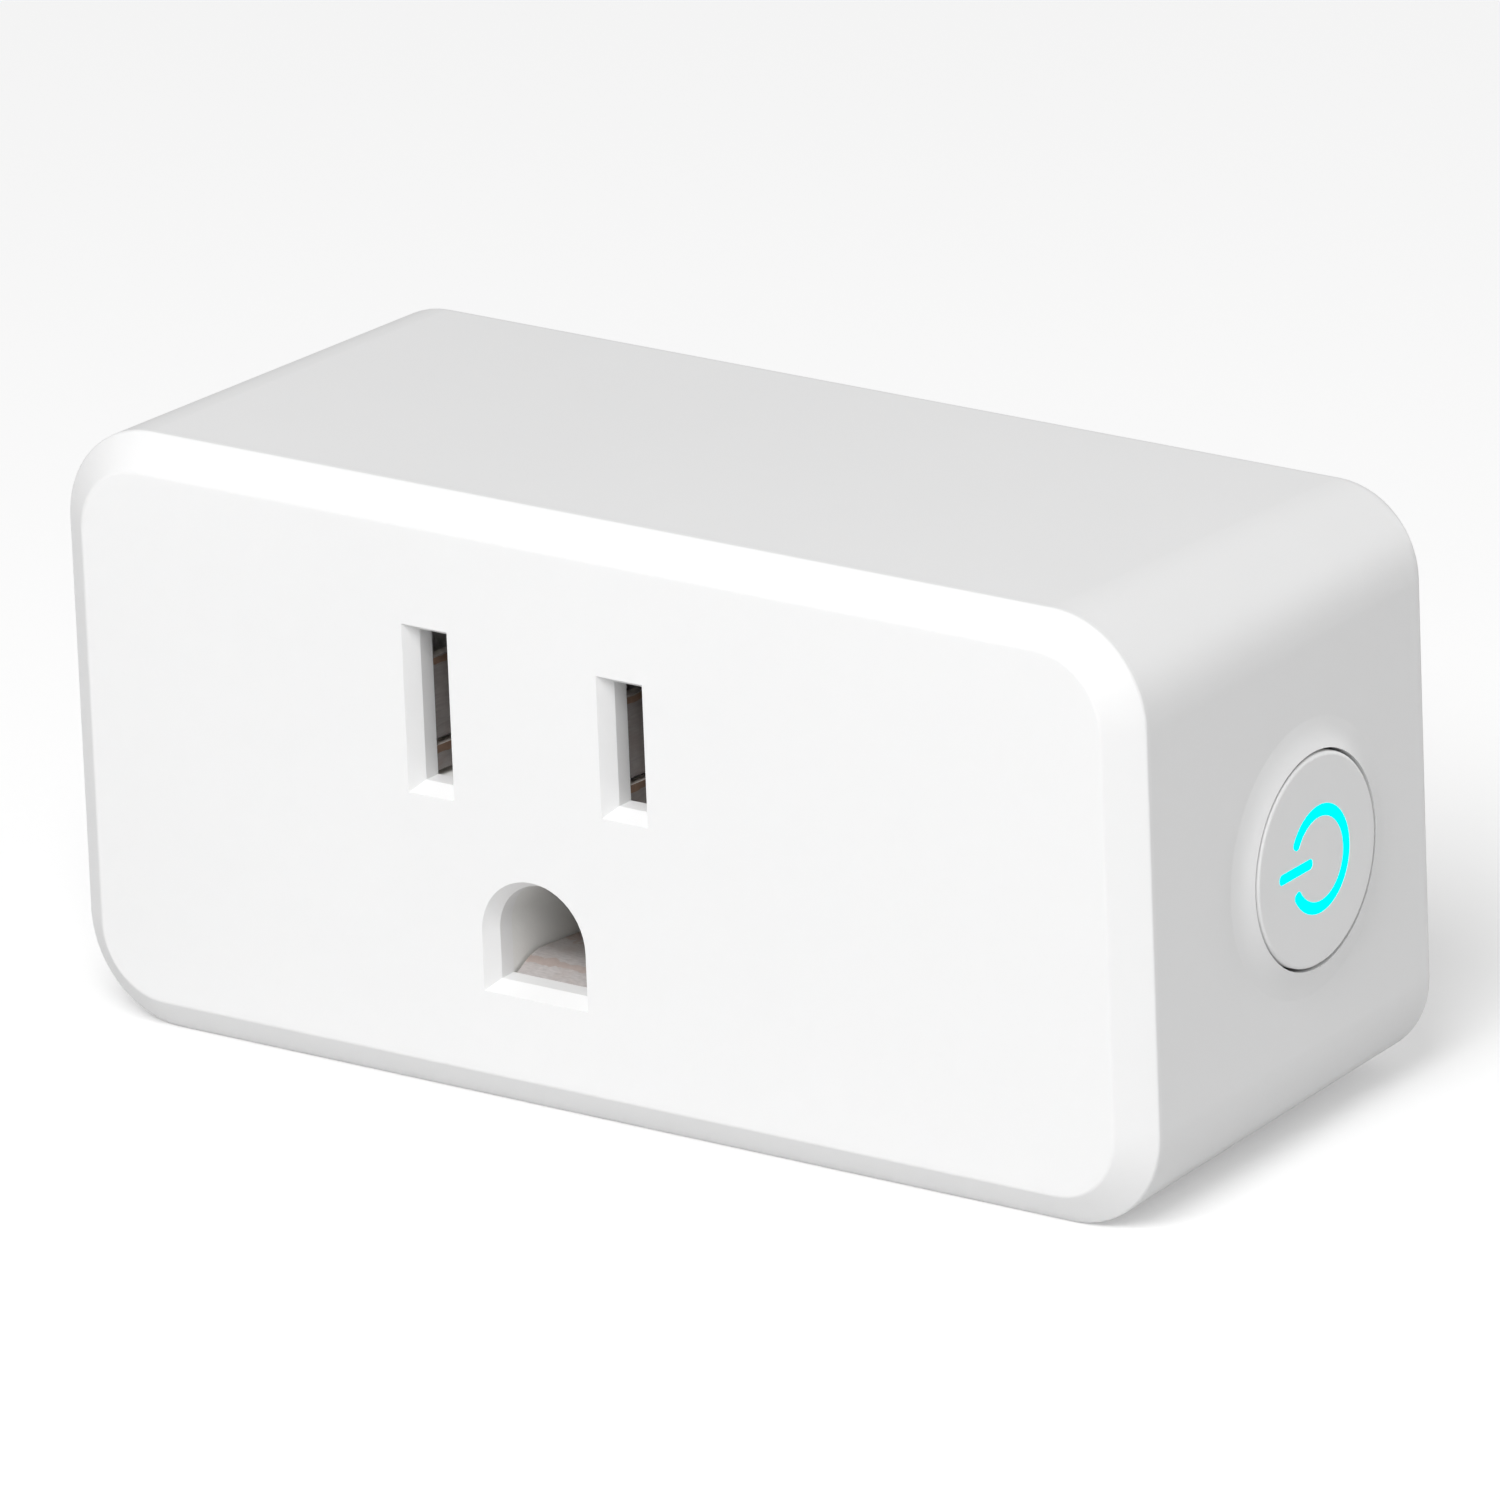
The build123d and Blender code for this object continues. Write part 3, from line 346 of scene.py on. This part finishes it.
def chip_package(node_name):
    """Black moulding compound, fine and dull, with bright tinned leads out past the body."""
    s = Shader(f"{node_name}_mould")
    centre_point, half = middle(node_name)
    reach = s.math("ABSOLUTE", s.math("SUBTRACT", s.axes()[2], centre_point.z))
    lead = s.math("GREATER_THAN", reach, half.z - CHIP_LEAD_LENGTH)
    mould = s.mix(s.noise(14.0, 3.0), (0.018, 0.018, 0.019), (0.04, 0.04, 0.042))
    tin = s.mix(s.noise(4.0, 3.0), (0.58, 0.58, 0.60), (0.80, 0.80, 0.82))
    s.set(
        Base_Color=s.mix(lead, mould, tin),
        Metallic=lead,
        Roughness=s.stretch_range(lead, 0.62, 0.26),
        Normal=s.bump(s.noise(20.0, 3.0), 0.006, 0.6),
    )
    return s.material


def capacitor_can(node_name):
    """A heat-shrink sleeve with a pale polarity stripe, drawn in over a scored aluminium top."""
    s = Shader(f"{node_name}_sleeve")
    centre_point, half = middle(node_name)
    x, y, z = s.axes()
    out_x = s.math("SUBTRACT", x, centre_point.x)
    out_z = s.math("SUBTRACT", z, centre_point.z)
    radius = s.length(out_x, out_z)
    forward = s.math("LESS_THAN", s.facing()[1], -0.7)
    top = s.math("MULTIPLY", forward, s.math("LESS_THAN", radius, half.x - CAN_CRIMP))
    low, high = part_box(node_name)
    lead = s.math("GREATER_THAN", y, low.y + (high.y - low.y) * CAN_LEAD_START)
    stripe = s.math("GREATER_THAN", s.math("DIVIDE", out_z, half.x), CAN_STRIPE_START)
    sleeve = s.mix(s.noise(0.5, 2.0), (0.012, 0.014, 0.03), (0.03, 0.035, 0.06))
    sleeve = s.mix(stripe, sleeve, (0.62, 0.62, 0.6))
    metal = s.mix(s.noise(6.0, 3.0), (0.70, 0.70, 0.71), (0.86, 0.86, 0.87))
    bare = s.math("MAXIMUM", top, lead)
    s.set(
        Base_Color=s.mix(bare, sleeve, metal),
        Metallic=bare,
        Roughness=s.stretch_range(s.noise(0.8, 3.0), 0.24, 0.38),
        Normal=s.bump(s.noise(1.4, 3.0), 0.02, 0.5),
    )
    return s.material


def banded_resistor(node_name):
    """A flame-proof coat with four colour bands; the leads at each end are tinned."""
    s = Shader(f"{node_name}_coat")
    centre_point, half = middle(node_name)
    along = s.math("SUBTRACT", s.axes()[0], centre_point.x)
    coat = s.mix(s.noise(3.0, 4.0), (0.16, 0.36, 0.30), (0.24, 0.46, 0.40))
    bands = (
        (-2.9, (0.35, 0.10, 0.03)),
        (-1.0, (0.02, 0.02, 0.02)),
        (0.6, (0.02, 0.02, 0.02)),
        (2.9, (0.55, 0.38, 0.10)),
    )
    for offset, paint in bands:
        away = s.math("ABSOLUTE", s.math("SUBTRACT", along, offset * MM))
        coat = s.mix(s.math("LESS_THAN", away, RESISTOR_BAND), coat, paint)
    lead = s.math("GREATER_THAN", s.math("ABSOLUTE", along), RESISTOR_HALF_BODY)
    s.set(
        Base_Color=s.mix(lead, coat, TINNED),
        Metallic=lead,
        Roughness=s.stretch_range(s.noise(2.0, 3.0), 0.35, 0.55),
        Normal=s.bump(s.noise(5.0, 3.0), 0.02, 0.5),
    )
    return s.material


def dipped_disc(node_name):
    """A disc in thick epoxy that has run a little; its leads are tinned wire."""
    s = Shader(f"{node_name}_epoxy")
    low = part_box(node_name)[0]
    lead = s.math("GREATER_THAN", s.axes()[1], low.y + DISC_BODY)
    coat = s.mix(s.noise(0.6, 3.0), (0.03, 0.10, 0.34), (0.06, 0.16, 0.46))
    s.set(
        Base_Color=s.mix(lead, coat, TINNED),
        Metallic=lead,
        Roughness=s.stretch_range(s.noise(1.0, 2.0), 0.16, 0.3),
        Normal=s.bump(s.noise(0.7, 2.0), 0.06, 0.6),
    )
    return s.material


def end_capped_ceramic(name):
    """Small fired ceramic bodies whose two ends are tinned."""
    s = Shader(name)
    body = s.mix(s.noise(6.0, 3.0), (0.36, 0.27, 0.18), (0.50, 0.40, 0.28))
    end = s.step(s.math("ABSOLUTE", s.facing()[0]), 0.5, 0.7)
    s.set(
        Base_Color=s.mix(end, body, (0.72, 0.72, 0.74)),
        Metallic=end,
        Roughness=s.stretch_range(s.noise(3.0, 2.0), 0.3, 0.5),
        Normal=s.bump(s.noise(10.0, 3.0), 0.008, 0.5),
    )
    return s.material


GLOW_START = 0.5 * MM
GLOW_FULL = 0.2 * MM


def lit_symbol(name):
    """The light guide: bright cyan at its outer face, dim where it lies behind the button."""
    s = Shader(name)
    cloud = s.noise(0.8, 2.0)
    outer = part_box("power_symbol_lens")[1].x
    lit = s.step(s.axes()[0], outer - GLOW_START, outer - GLOW_FULL)
    glow = s.mix(lit, (0.0, 0.10, 0.11), s.mix(cloud, (0.0, 0.95, 0.97), (0.0, 1.0, 1.0)))
    s.set(
        Base_Color=s.mix(cloud, (0.0, 0.30, 0.32), (0.0, 0.36, 0.38)),
        Roughness=s.stretch_range(s.noise(5.0, 2.0), 0.45, 0.6),
        Emission_Color=glow,
        Normal=s.bump(s.noise(9.0, 2.0), 0.003, 0.4),
    )
    s.set(Emission_Strength=1.0, Specular_IOR_Level=0.0)
    return s.material


def led_package(name):
    """A white ceramic base under a small resin window that is tinted by its phosphor."""
    s = Shader(name)
    face = s.step(s.facing()[0], 0.6, 0.9)
    resin = s.mix(s.noise(3.0, 2.0), (0.80, 0.72, 0.30), (0.88, 0.82, 0.48))
    s.set(
        Base_Color=s.mix(face, (0.80, 0.80, 0.78), resin),
        Roughness=s.stretch_range(face, 0.5, 0.2),
        Normal=s.bump(s.noise(6.0, 2.0), 0.006, 0.5),
    )
    return s.material


EVEN = (1, 1, 1)
MASK_GREEN = (0.025, 0.20, 0.06)
MASK_BLUE = (0.012, 0.03, 0.11)
zinc = worked_metal("zinc_plate", (0.62, 0.62, 0.65), 0.3, EVEN, (0.45, 0.44, 0.42))
solder = worked_metal("solder_alloy", (0.78, 0.79, 0.81), 0.2, EVEN, (0.55, 0.55, 0.56), 0.3, 4.0)
brass = worked_metal("strap_brass", (0.78, 0.58, 0.26), 0.3, (0.1, 1, 1), (0.45, 0.30, 0.14))
gold = worked_metal("gold_flash", (0.86, 0.66, 0.26), 0.25, (1, 0.3, 1), (0.60, 0.42, 0.18), 0.3)
iron = worked_metal("soft_iron", (0.52, 0.52, 0.54), 0.34, (0.15, 1, 1), (0.36, 0.34, 0.32))
tinned = worked_metal("tinned_wire", TINNED, 0.24, (1, 0.1, 1), (0.55, 0.55, 0.55))
shield = worked_metal("nickel_silver", (0.70, 0.69, 0.66), 0.28, (1, 0.08, 1), (0.50, 0.48, 0.44))
materials = {
    "cover_white": moulded_plastic("cover_plastic", (0.86, 0.86, 0.86), 0.38, scatter=0.05),
    "housing_white": moulded_plastic("housing_plastic", (0.84, 0.84, 0.84), 0.5, scatter=0.05),
    "button_white": moulded_plastic("button_plastic", (0.84, 0.84, 0.84), 0.5, scatter=0.05),
    "symbol_glow": lit_symbol("symbol_light_guide"),
    "contact_alloy": plated_strip("relay_fixed_contact", 0),
    "pin_brass": wall_pin("pin_plating"),
    "inner_plastic": moulded_plastic("inner_nylon", (0.80, 0.80, 0.77), 0.55, 6.0, 0.01),
    "carrier_plastic": moulded_plastic("carrier_nylon", (0.84, 0.84, 0.82), 0.55, 6.0, 0.01),
    "board_laminate": circuit_board("board_mask", MASK_GREEN, 1),
    "module_laminate": circuit_board("module_mask", MASK_BLUE, 0),
    "screw_steel": zinc.material,
    "solder": solder.material,
    "strap_brass": brass.material,
    "gold_trace": gold.material,
    "relay_blue": moulded_plastic("relay_case_plastic", (0.03, 0.13, 0.40), 0.42, 7.0, 0.006),
    "bobbin_white": moulded_plastic("bobbin_nylon", (0.84, 0.82, 0.75), 0.5, 7.0, 0.008),
    "copper_wire": enamelled_wire("enamelled_wire"),
    "relay_iron": iron.material,
    "lead_tin": tinned.material,
    "ferrite": moulded_plastic("ferrite_body", (0.055, 0.055, 0.06), 0.6, 5.0, 0.02),
    "chip_ceramic": end_capped_ceramic("chip_ceramic"),
    "shield_metal": shield.material,
    "header_black": moulded_plastic("header_nylon", (0.02, 0.02, 0.021), 0.45, 8.0, 0.008),
    "switch_plunger": moulded_plastic("plunger_acetal", (0.05, 0.05, 0.052), 0.35, 8.0, 0.004),
    "led_body": led_package("led_package"),
}

# A painted pink reflection of light across the front of the ground contact's hump, given as a height band.
LEAF_REFLECTION_BAND = ((0.19, 0.165),)
FINGER_BANDS = ((0.985, 0.93), (0.22, 0.15))
CHIPS = ("bridge_rectifier", "power_ic", "voltage_regulator", "relay_driver_transistor", "flyback_diode")
CANS = ("bulk_capacitor_1", "bulk_capacitor_2", "output_capacitor")
own_finish = {
    "button_board": circuit_board("button_board_mask", MASK_GREEN, 0),
    # The ground contact's band paints a pink reflection of light on its hump.
    "ground_contact": plated_strip("ground_contact", 0, LEAF_REFLECTION_BAND, 1.75, PAINTED_PINK_REFLECTION),
    "neutral_contact": plated_strip("neutral_contact", 2, FINGER_BANDS),
    "line_contact": plated_strip("line_contact", 2, FINGER_BANDS),
    "fusible_resistor": banded_resistor("fusible_resistor"),
    "surge_varistor": dipped_disc("surge_varistor"),
}
own_finish.update((chip, chip_package(chip)) for chip in CHIPS)
own_finish.update((can, capacitor_can(can)) for can in CANS)

for part in frame["record"]["subparts"]:
    piece = nodes[part["node"]]
    finish = own_finish.get(part["node"]) or materials[part["material_slot"]]
    piece.data.materials.clear()
    piece.data.materials.append(finish)

# ------------------------------------------------------------------ windings


def wind(name, node, inner_radius, wire, around=72, steps_per_turn=6):
    """Wire wound side by side in one helix over the layers beneath, as a closed shell round Y."""
    low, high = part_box(node)
    core = (low + high) / 2
    outer_radius = (high.x - low.x) / 2
    length = high.y - low.y
    turns = round(length / wire)
    rows = turns * steps_per_turn
    mesh = bmesh.new()

    def ring(y, radius_at):
        corners = []
        for column in range(around):
            angle = math.tau * column / around
            radius = radius_at(column / around)
            corners.append(mesh.verts.new(
                (core.x + radius * math.cos(angle), y, core.z + radius * math.sin(angle))
            ))
        return corners

    rings = [ring(low.y, lambda share: inner_radius)]
    for row in range(rows + 1):
        phase = row / steps_per_turn
        rings.append(ring(
            low.y + length * row / rows,
            lambda share: outer_radius - wire / 2 * (1 - abs(math.sin(math.pi * (phase + share)))),
        ))
    rings.append(ring(high.y, lambda share: inner_radius))
    for first, second in zip(rings, rings[1:] + rings[:1]):
        for column in range(around):
            following = (column + 1) % around
            mesh.faces.new((first[column], first[following], second[following], second[column]))
    bmesh.ops.recalc_face_normals(mesh, faces=mesh.faces)
    for face in mesh.faces:
        face.smooth = True
    data = bpy.data.meshes.new(name)
    mesh.to_mesh(data)
    mesh.free()
    data.materials.append(materials["copper_wire"])
    winding = bpy.data.objects.new(name, data)
    bpy.context.scene.collection.objects.link(winding)
    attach(winding, "plug_body")
    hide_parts(node)


wind("relay_coil_turns", "relay_coil", 2.1 * MM, 0.2 * MM)
wind("inductor_winding_turns", "inductor_winding", 1.5 * MM, 0.28 * MM)

# --------------------------------------------------------------------- stage

FLOOR_SIZE = 3.0
FLOOR_LIFT_NEAR = 0.32
FLOOR_LIFT_FAR = 0.62
bpy.ops.mesh.primitive_plane_add(size=FLOOR_SIZE, location=(0, 0, cad_low.z))
floor = bpy.context.object
floor.name = "floor"
paper = Shader("floor_paper")
paper.set(Base_Color=(0.74, 0.74, 0.74, 1), Roughness=0.8)
paper.set(Normal=paper.bump(paper.noise(2.0, 3.0), 0.01, 0.2))
seen = paper.tree.nodes.new("ShaderNodeLightPath").outputs["Is Camera Ray"]
from_plug = paper.length(paper.axes()[0], paper.axes()[1])
lift = paper.stretch_range(paper.step(from_plug, 0.12, 0.8), FLOOR_LIFT_NEAR, FLOOR_LIFT_FAR)
paper.set(Emission_Color=(1, 1, 1, 1), Emission_Strength=paper.math("MULTIPLY", seen, lift))
floor.data.materials.append(paper.material)

# -------------------------------------------------------------------- lights

SKY_BRIGHTNESS = 0.36
BACKDROP_BRIGHTNESS = 0.93
world = bpy.data.worlds.new("studio")
world.use_nodes = True
world.node_tree.nodes["Background"].inputs["Color"].default_value = (1, 1, 1, 1)
sky = world.node_tree.nodes["Background"].inputs["Strength"]
shown = world.node_tree.nodes.new("ShaderNodeLightPath").outputs["Is Camera Ray"]
brighter = world.node_tree.nodes.new("ShaderNodeMath")
brighter.operation = "MULTIPLY_ADD"
world.node_tree.links.new(shown, brighter.inputs[0])
brighter.inputs[1].default_value = BACKDROP_BRIGHTNESS - SKY_BRIGHTNESS
brighter.inputs[2].default_value = SKY_BRIGHTNESS
world.node_tree.links.new(brighter.outputs[0], sky)
bpy.context.scene.world = world

body_low, body_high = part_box("rear_housing")
cover_low, cover_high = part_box("front_cover")
centre = Vector((
    (body_low.x + body_high.x) / 2, (cover_low.y + body_high.y) / 2, (cover_low.z + cover_high.z) / 2
))


def direction(azimuth, elevation):
    """Unit vector from the plug towards a light or camera; azimuth 0 is straight in front."""
    a, e = math.radians(azimuth), math.radians(elevation)
    return Vector((math.sin(a) * math.cos(e), -math.cos(a) * math.cos(e), math.sin(e)))


LIGHT_DISTANCE = 0.9


def softbox(name, azimuth, elevation, size, power):
    light = bpy.data.lights.new(name, "AREA")
    light.shape = "DISK"
    light.size = size
    light.energy = power
    lamp = bpy.data.objects.new(name, light)
    bpy.context.scene.collection.objects.link(lamp)
    lamp.location = centre + direction(azimuth, elevation) * LIGHT_DISTANCE
    lamp.rotation_euler = (-direction(azimuth, elevation)).to_track_quat("-Z", "Y").to_euler()


softbox("key", 17, 47, 0.55, 6.8)
softbox("rear_fill", 167, 9, 0.22, 1.4)

# -------------------------------------------------------------------- camera

VIEW_AZIMUTH = 36.2
VIEW_ELEVATION = 19.6
VIEW_ROLL = -2.3
VIEW_DISTANCE = 0.957
LENS = 430.0

back = direction(VIEW_AZIMUTH, VIEW_ELEVATION)
right = Vector((math.cos(math.radians(VIEW_AZIMUTH)), math.sin(math.radians(VIEW_AZIMUTH)), 0))
up = back.cross(right)
turn = math.radians(VIEW_ROLL)
camera_right = math.cos(turn) * right + math.sin(turn) * up
camera_up = math.cos(turn) * up - math.sin(turn) * right

camera_data = bpy.data.cameras.new("camera")
camera_data.lens = LENS
camera_data.sensor_width = 36.0
camera_data.clip_start = 0.01
camera = bpy.data.objects.new("camera", camera_data)
bpy.context.scene.collection.objects.link(camera)
camera.matrix_world = Matrix.Translation(centre + back * VIEW_DISTANCE) @ Matrix(
    (camera_right, camera_up, back)
).transposed().to_4x4()
bpy.context.scene.camera = camera
bpy.context.scene.view_settings.view_transform = "Standard"
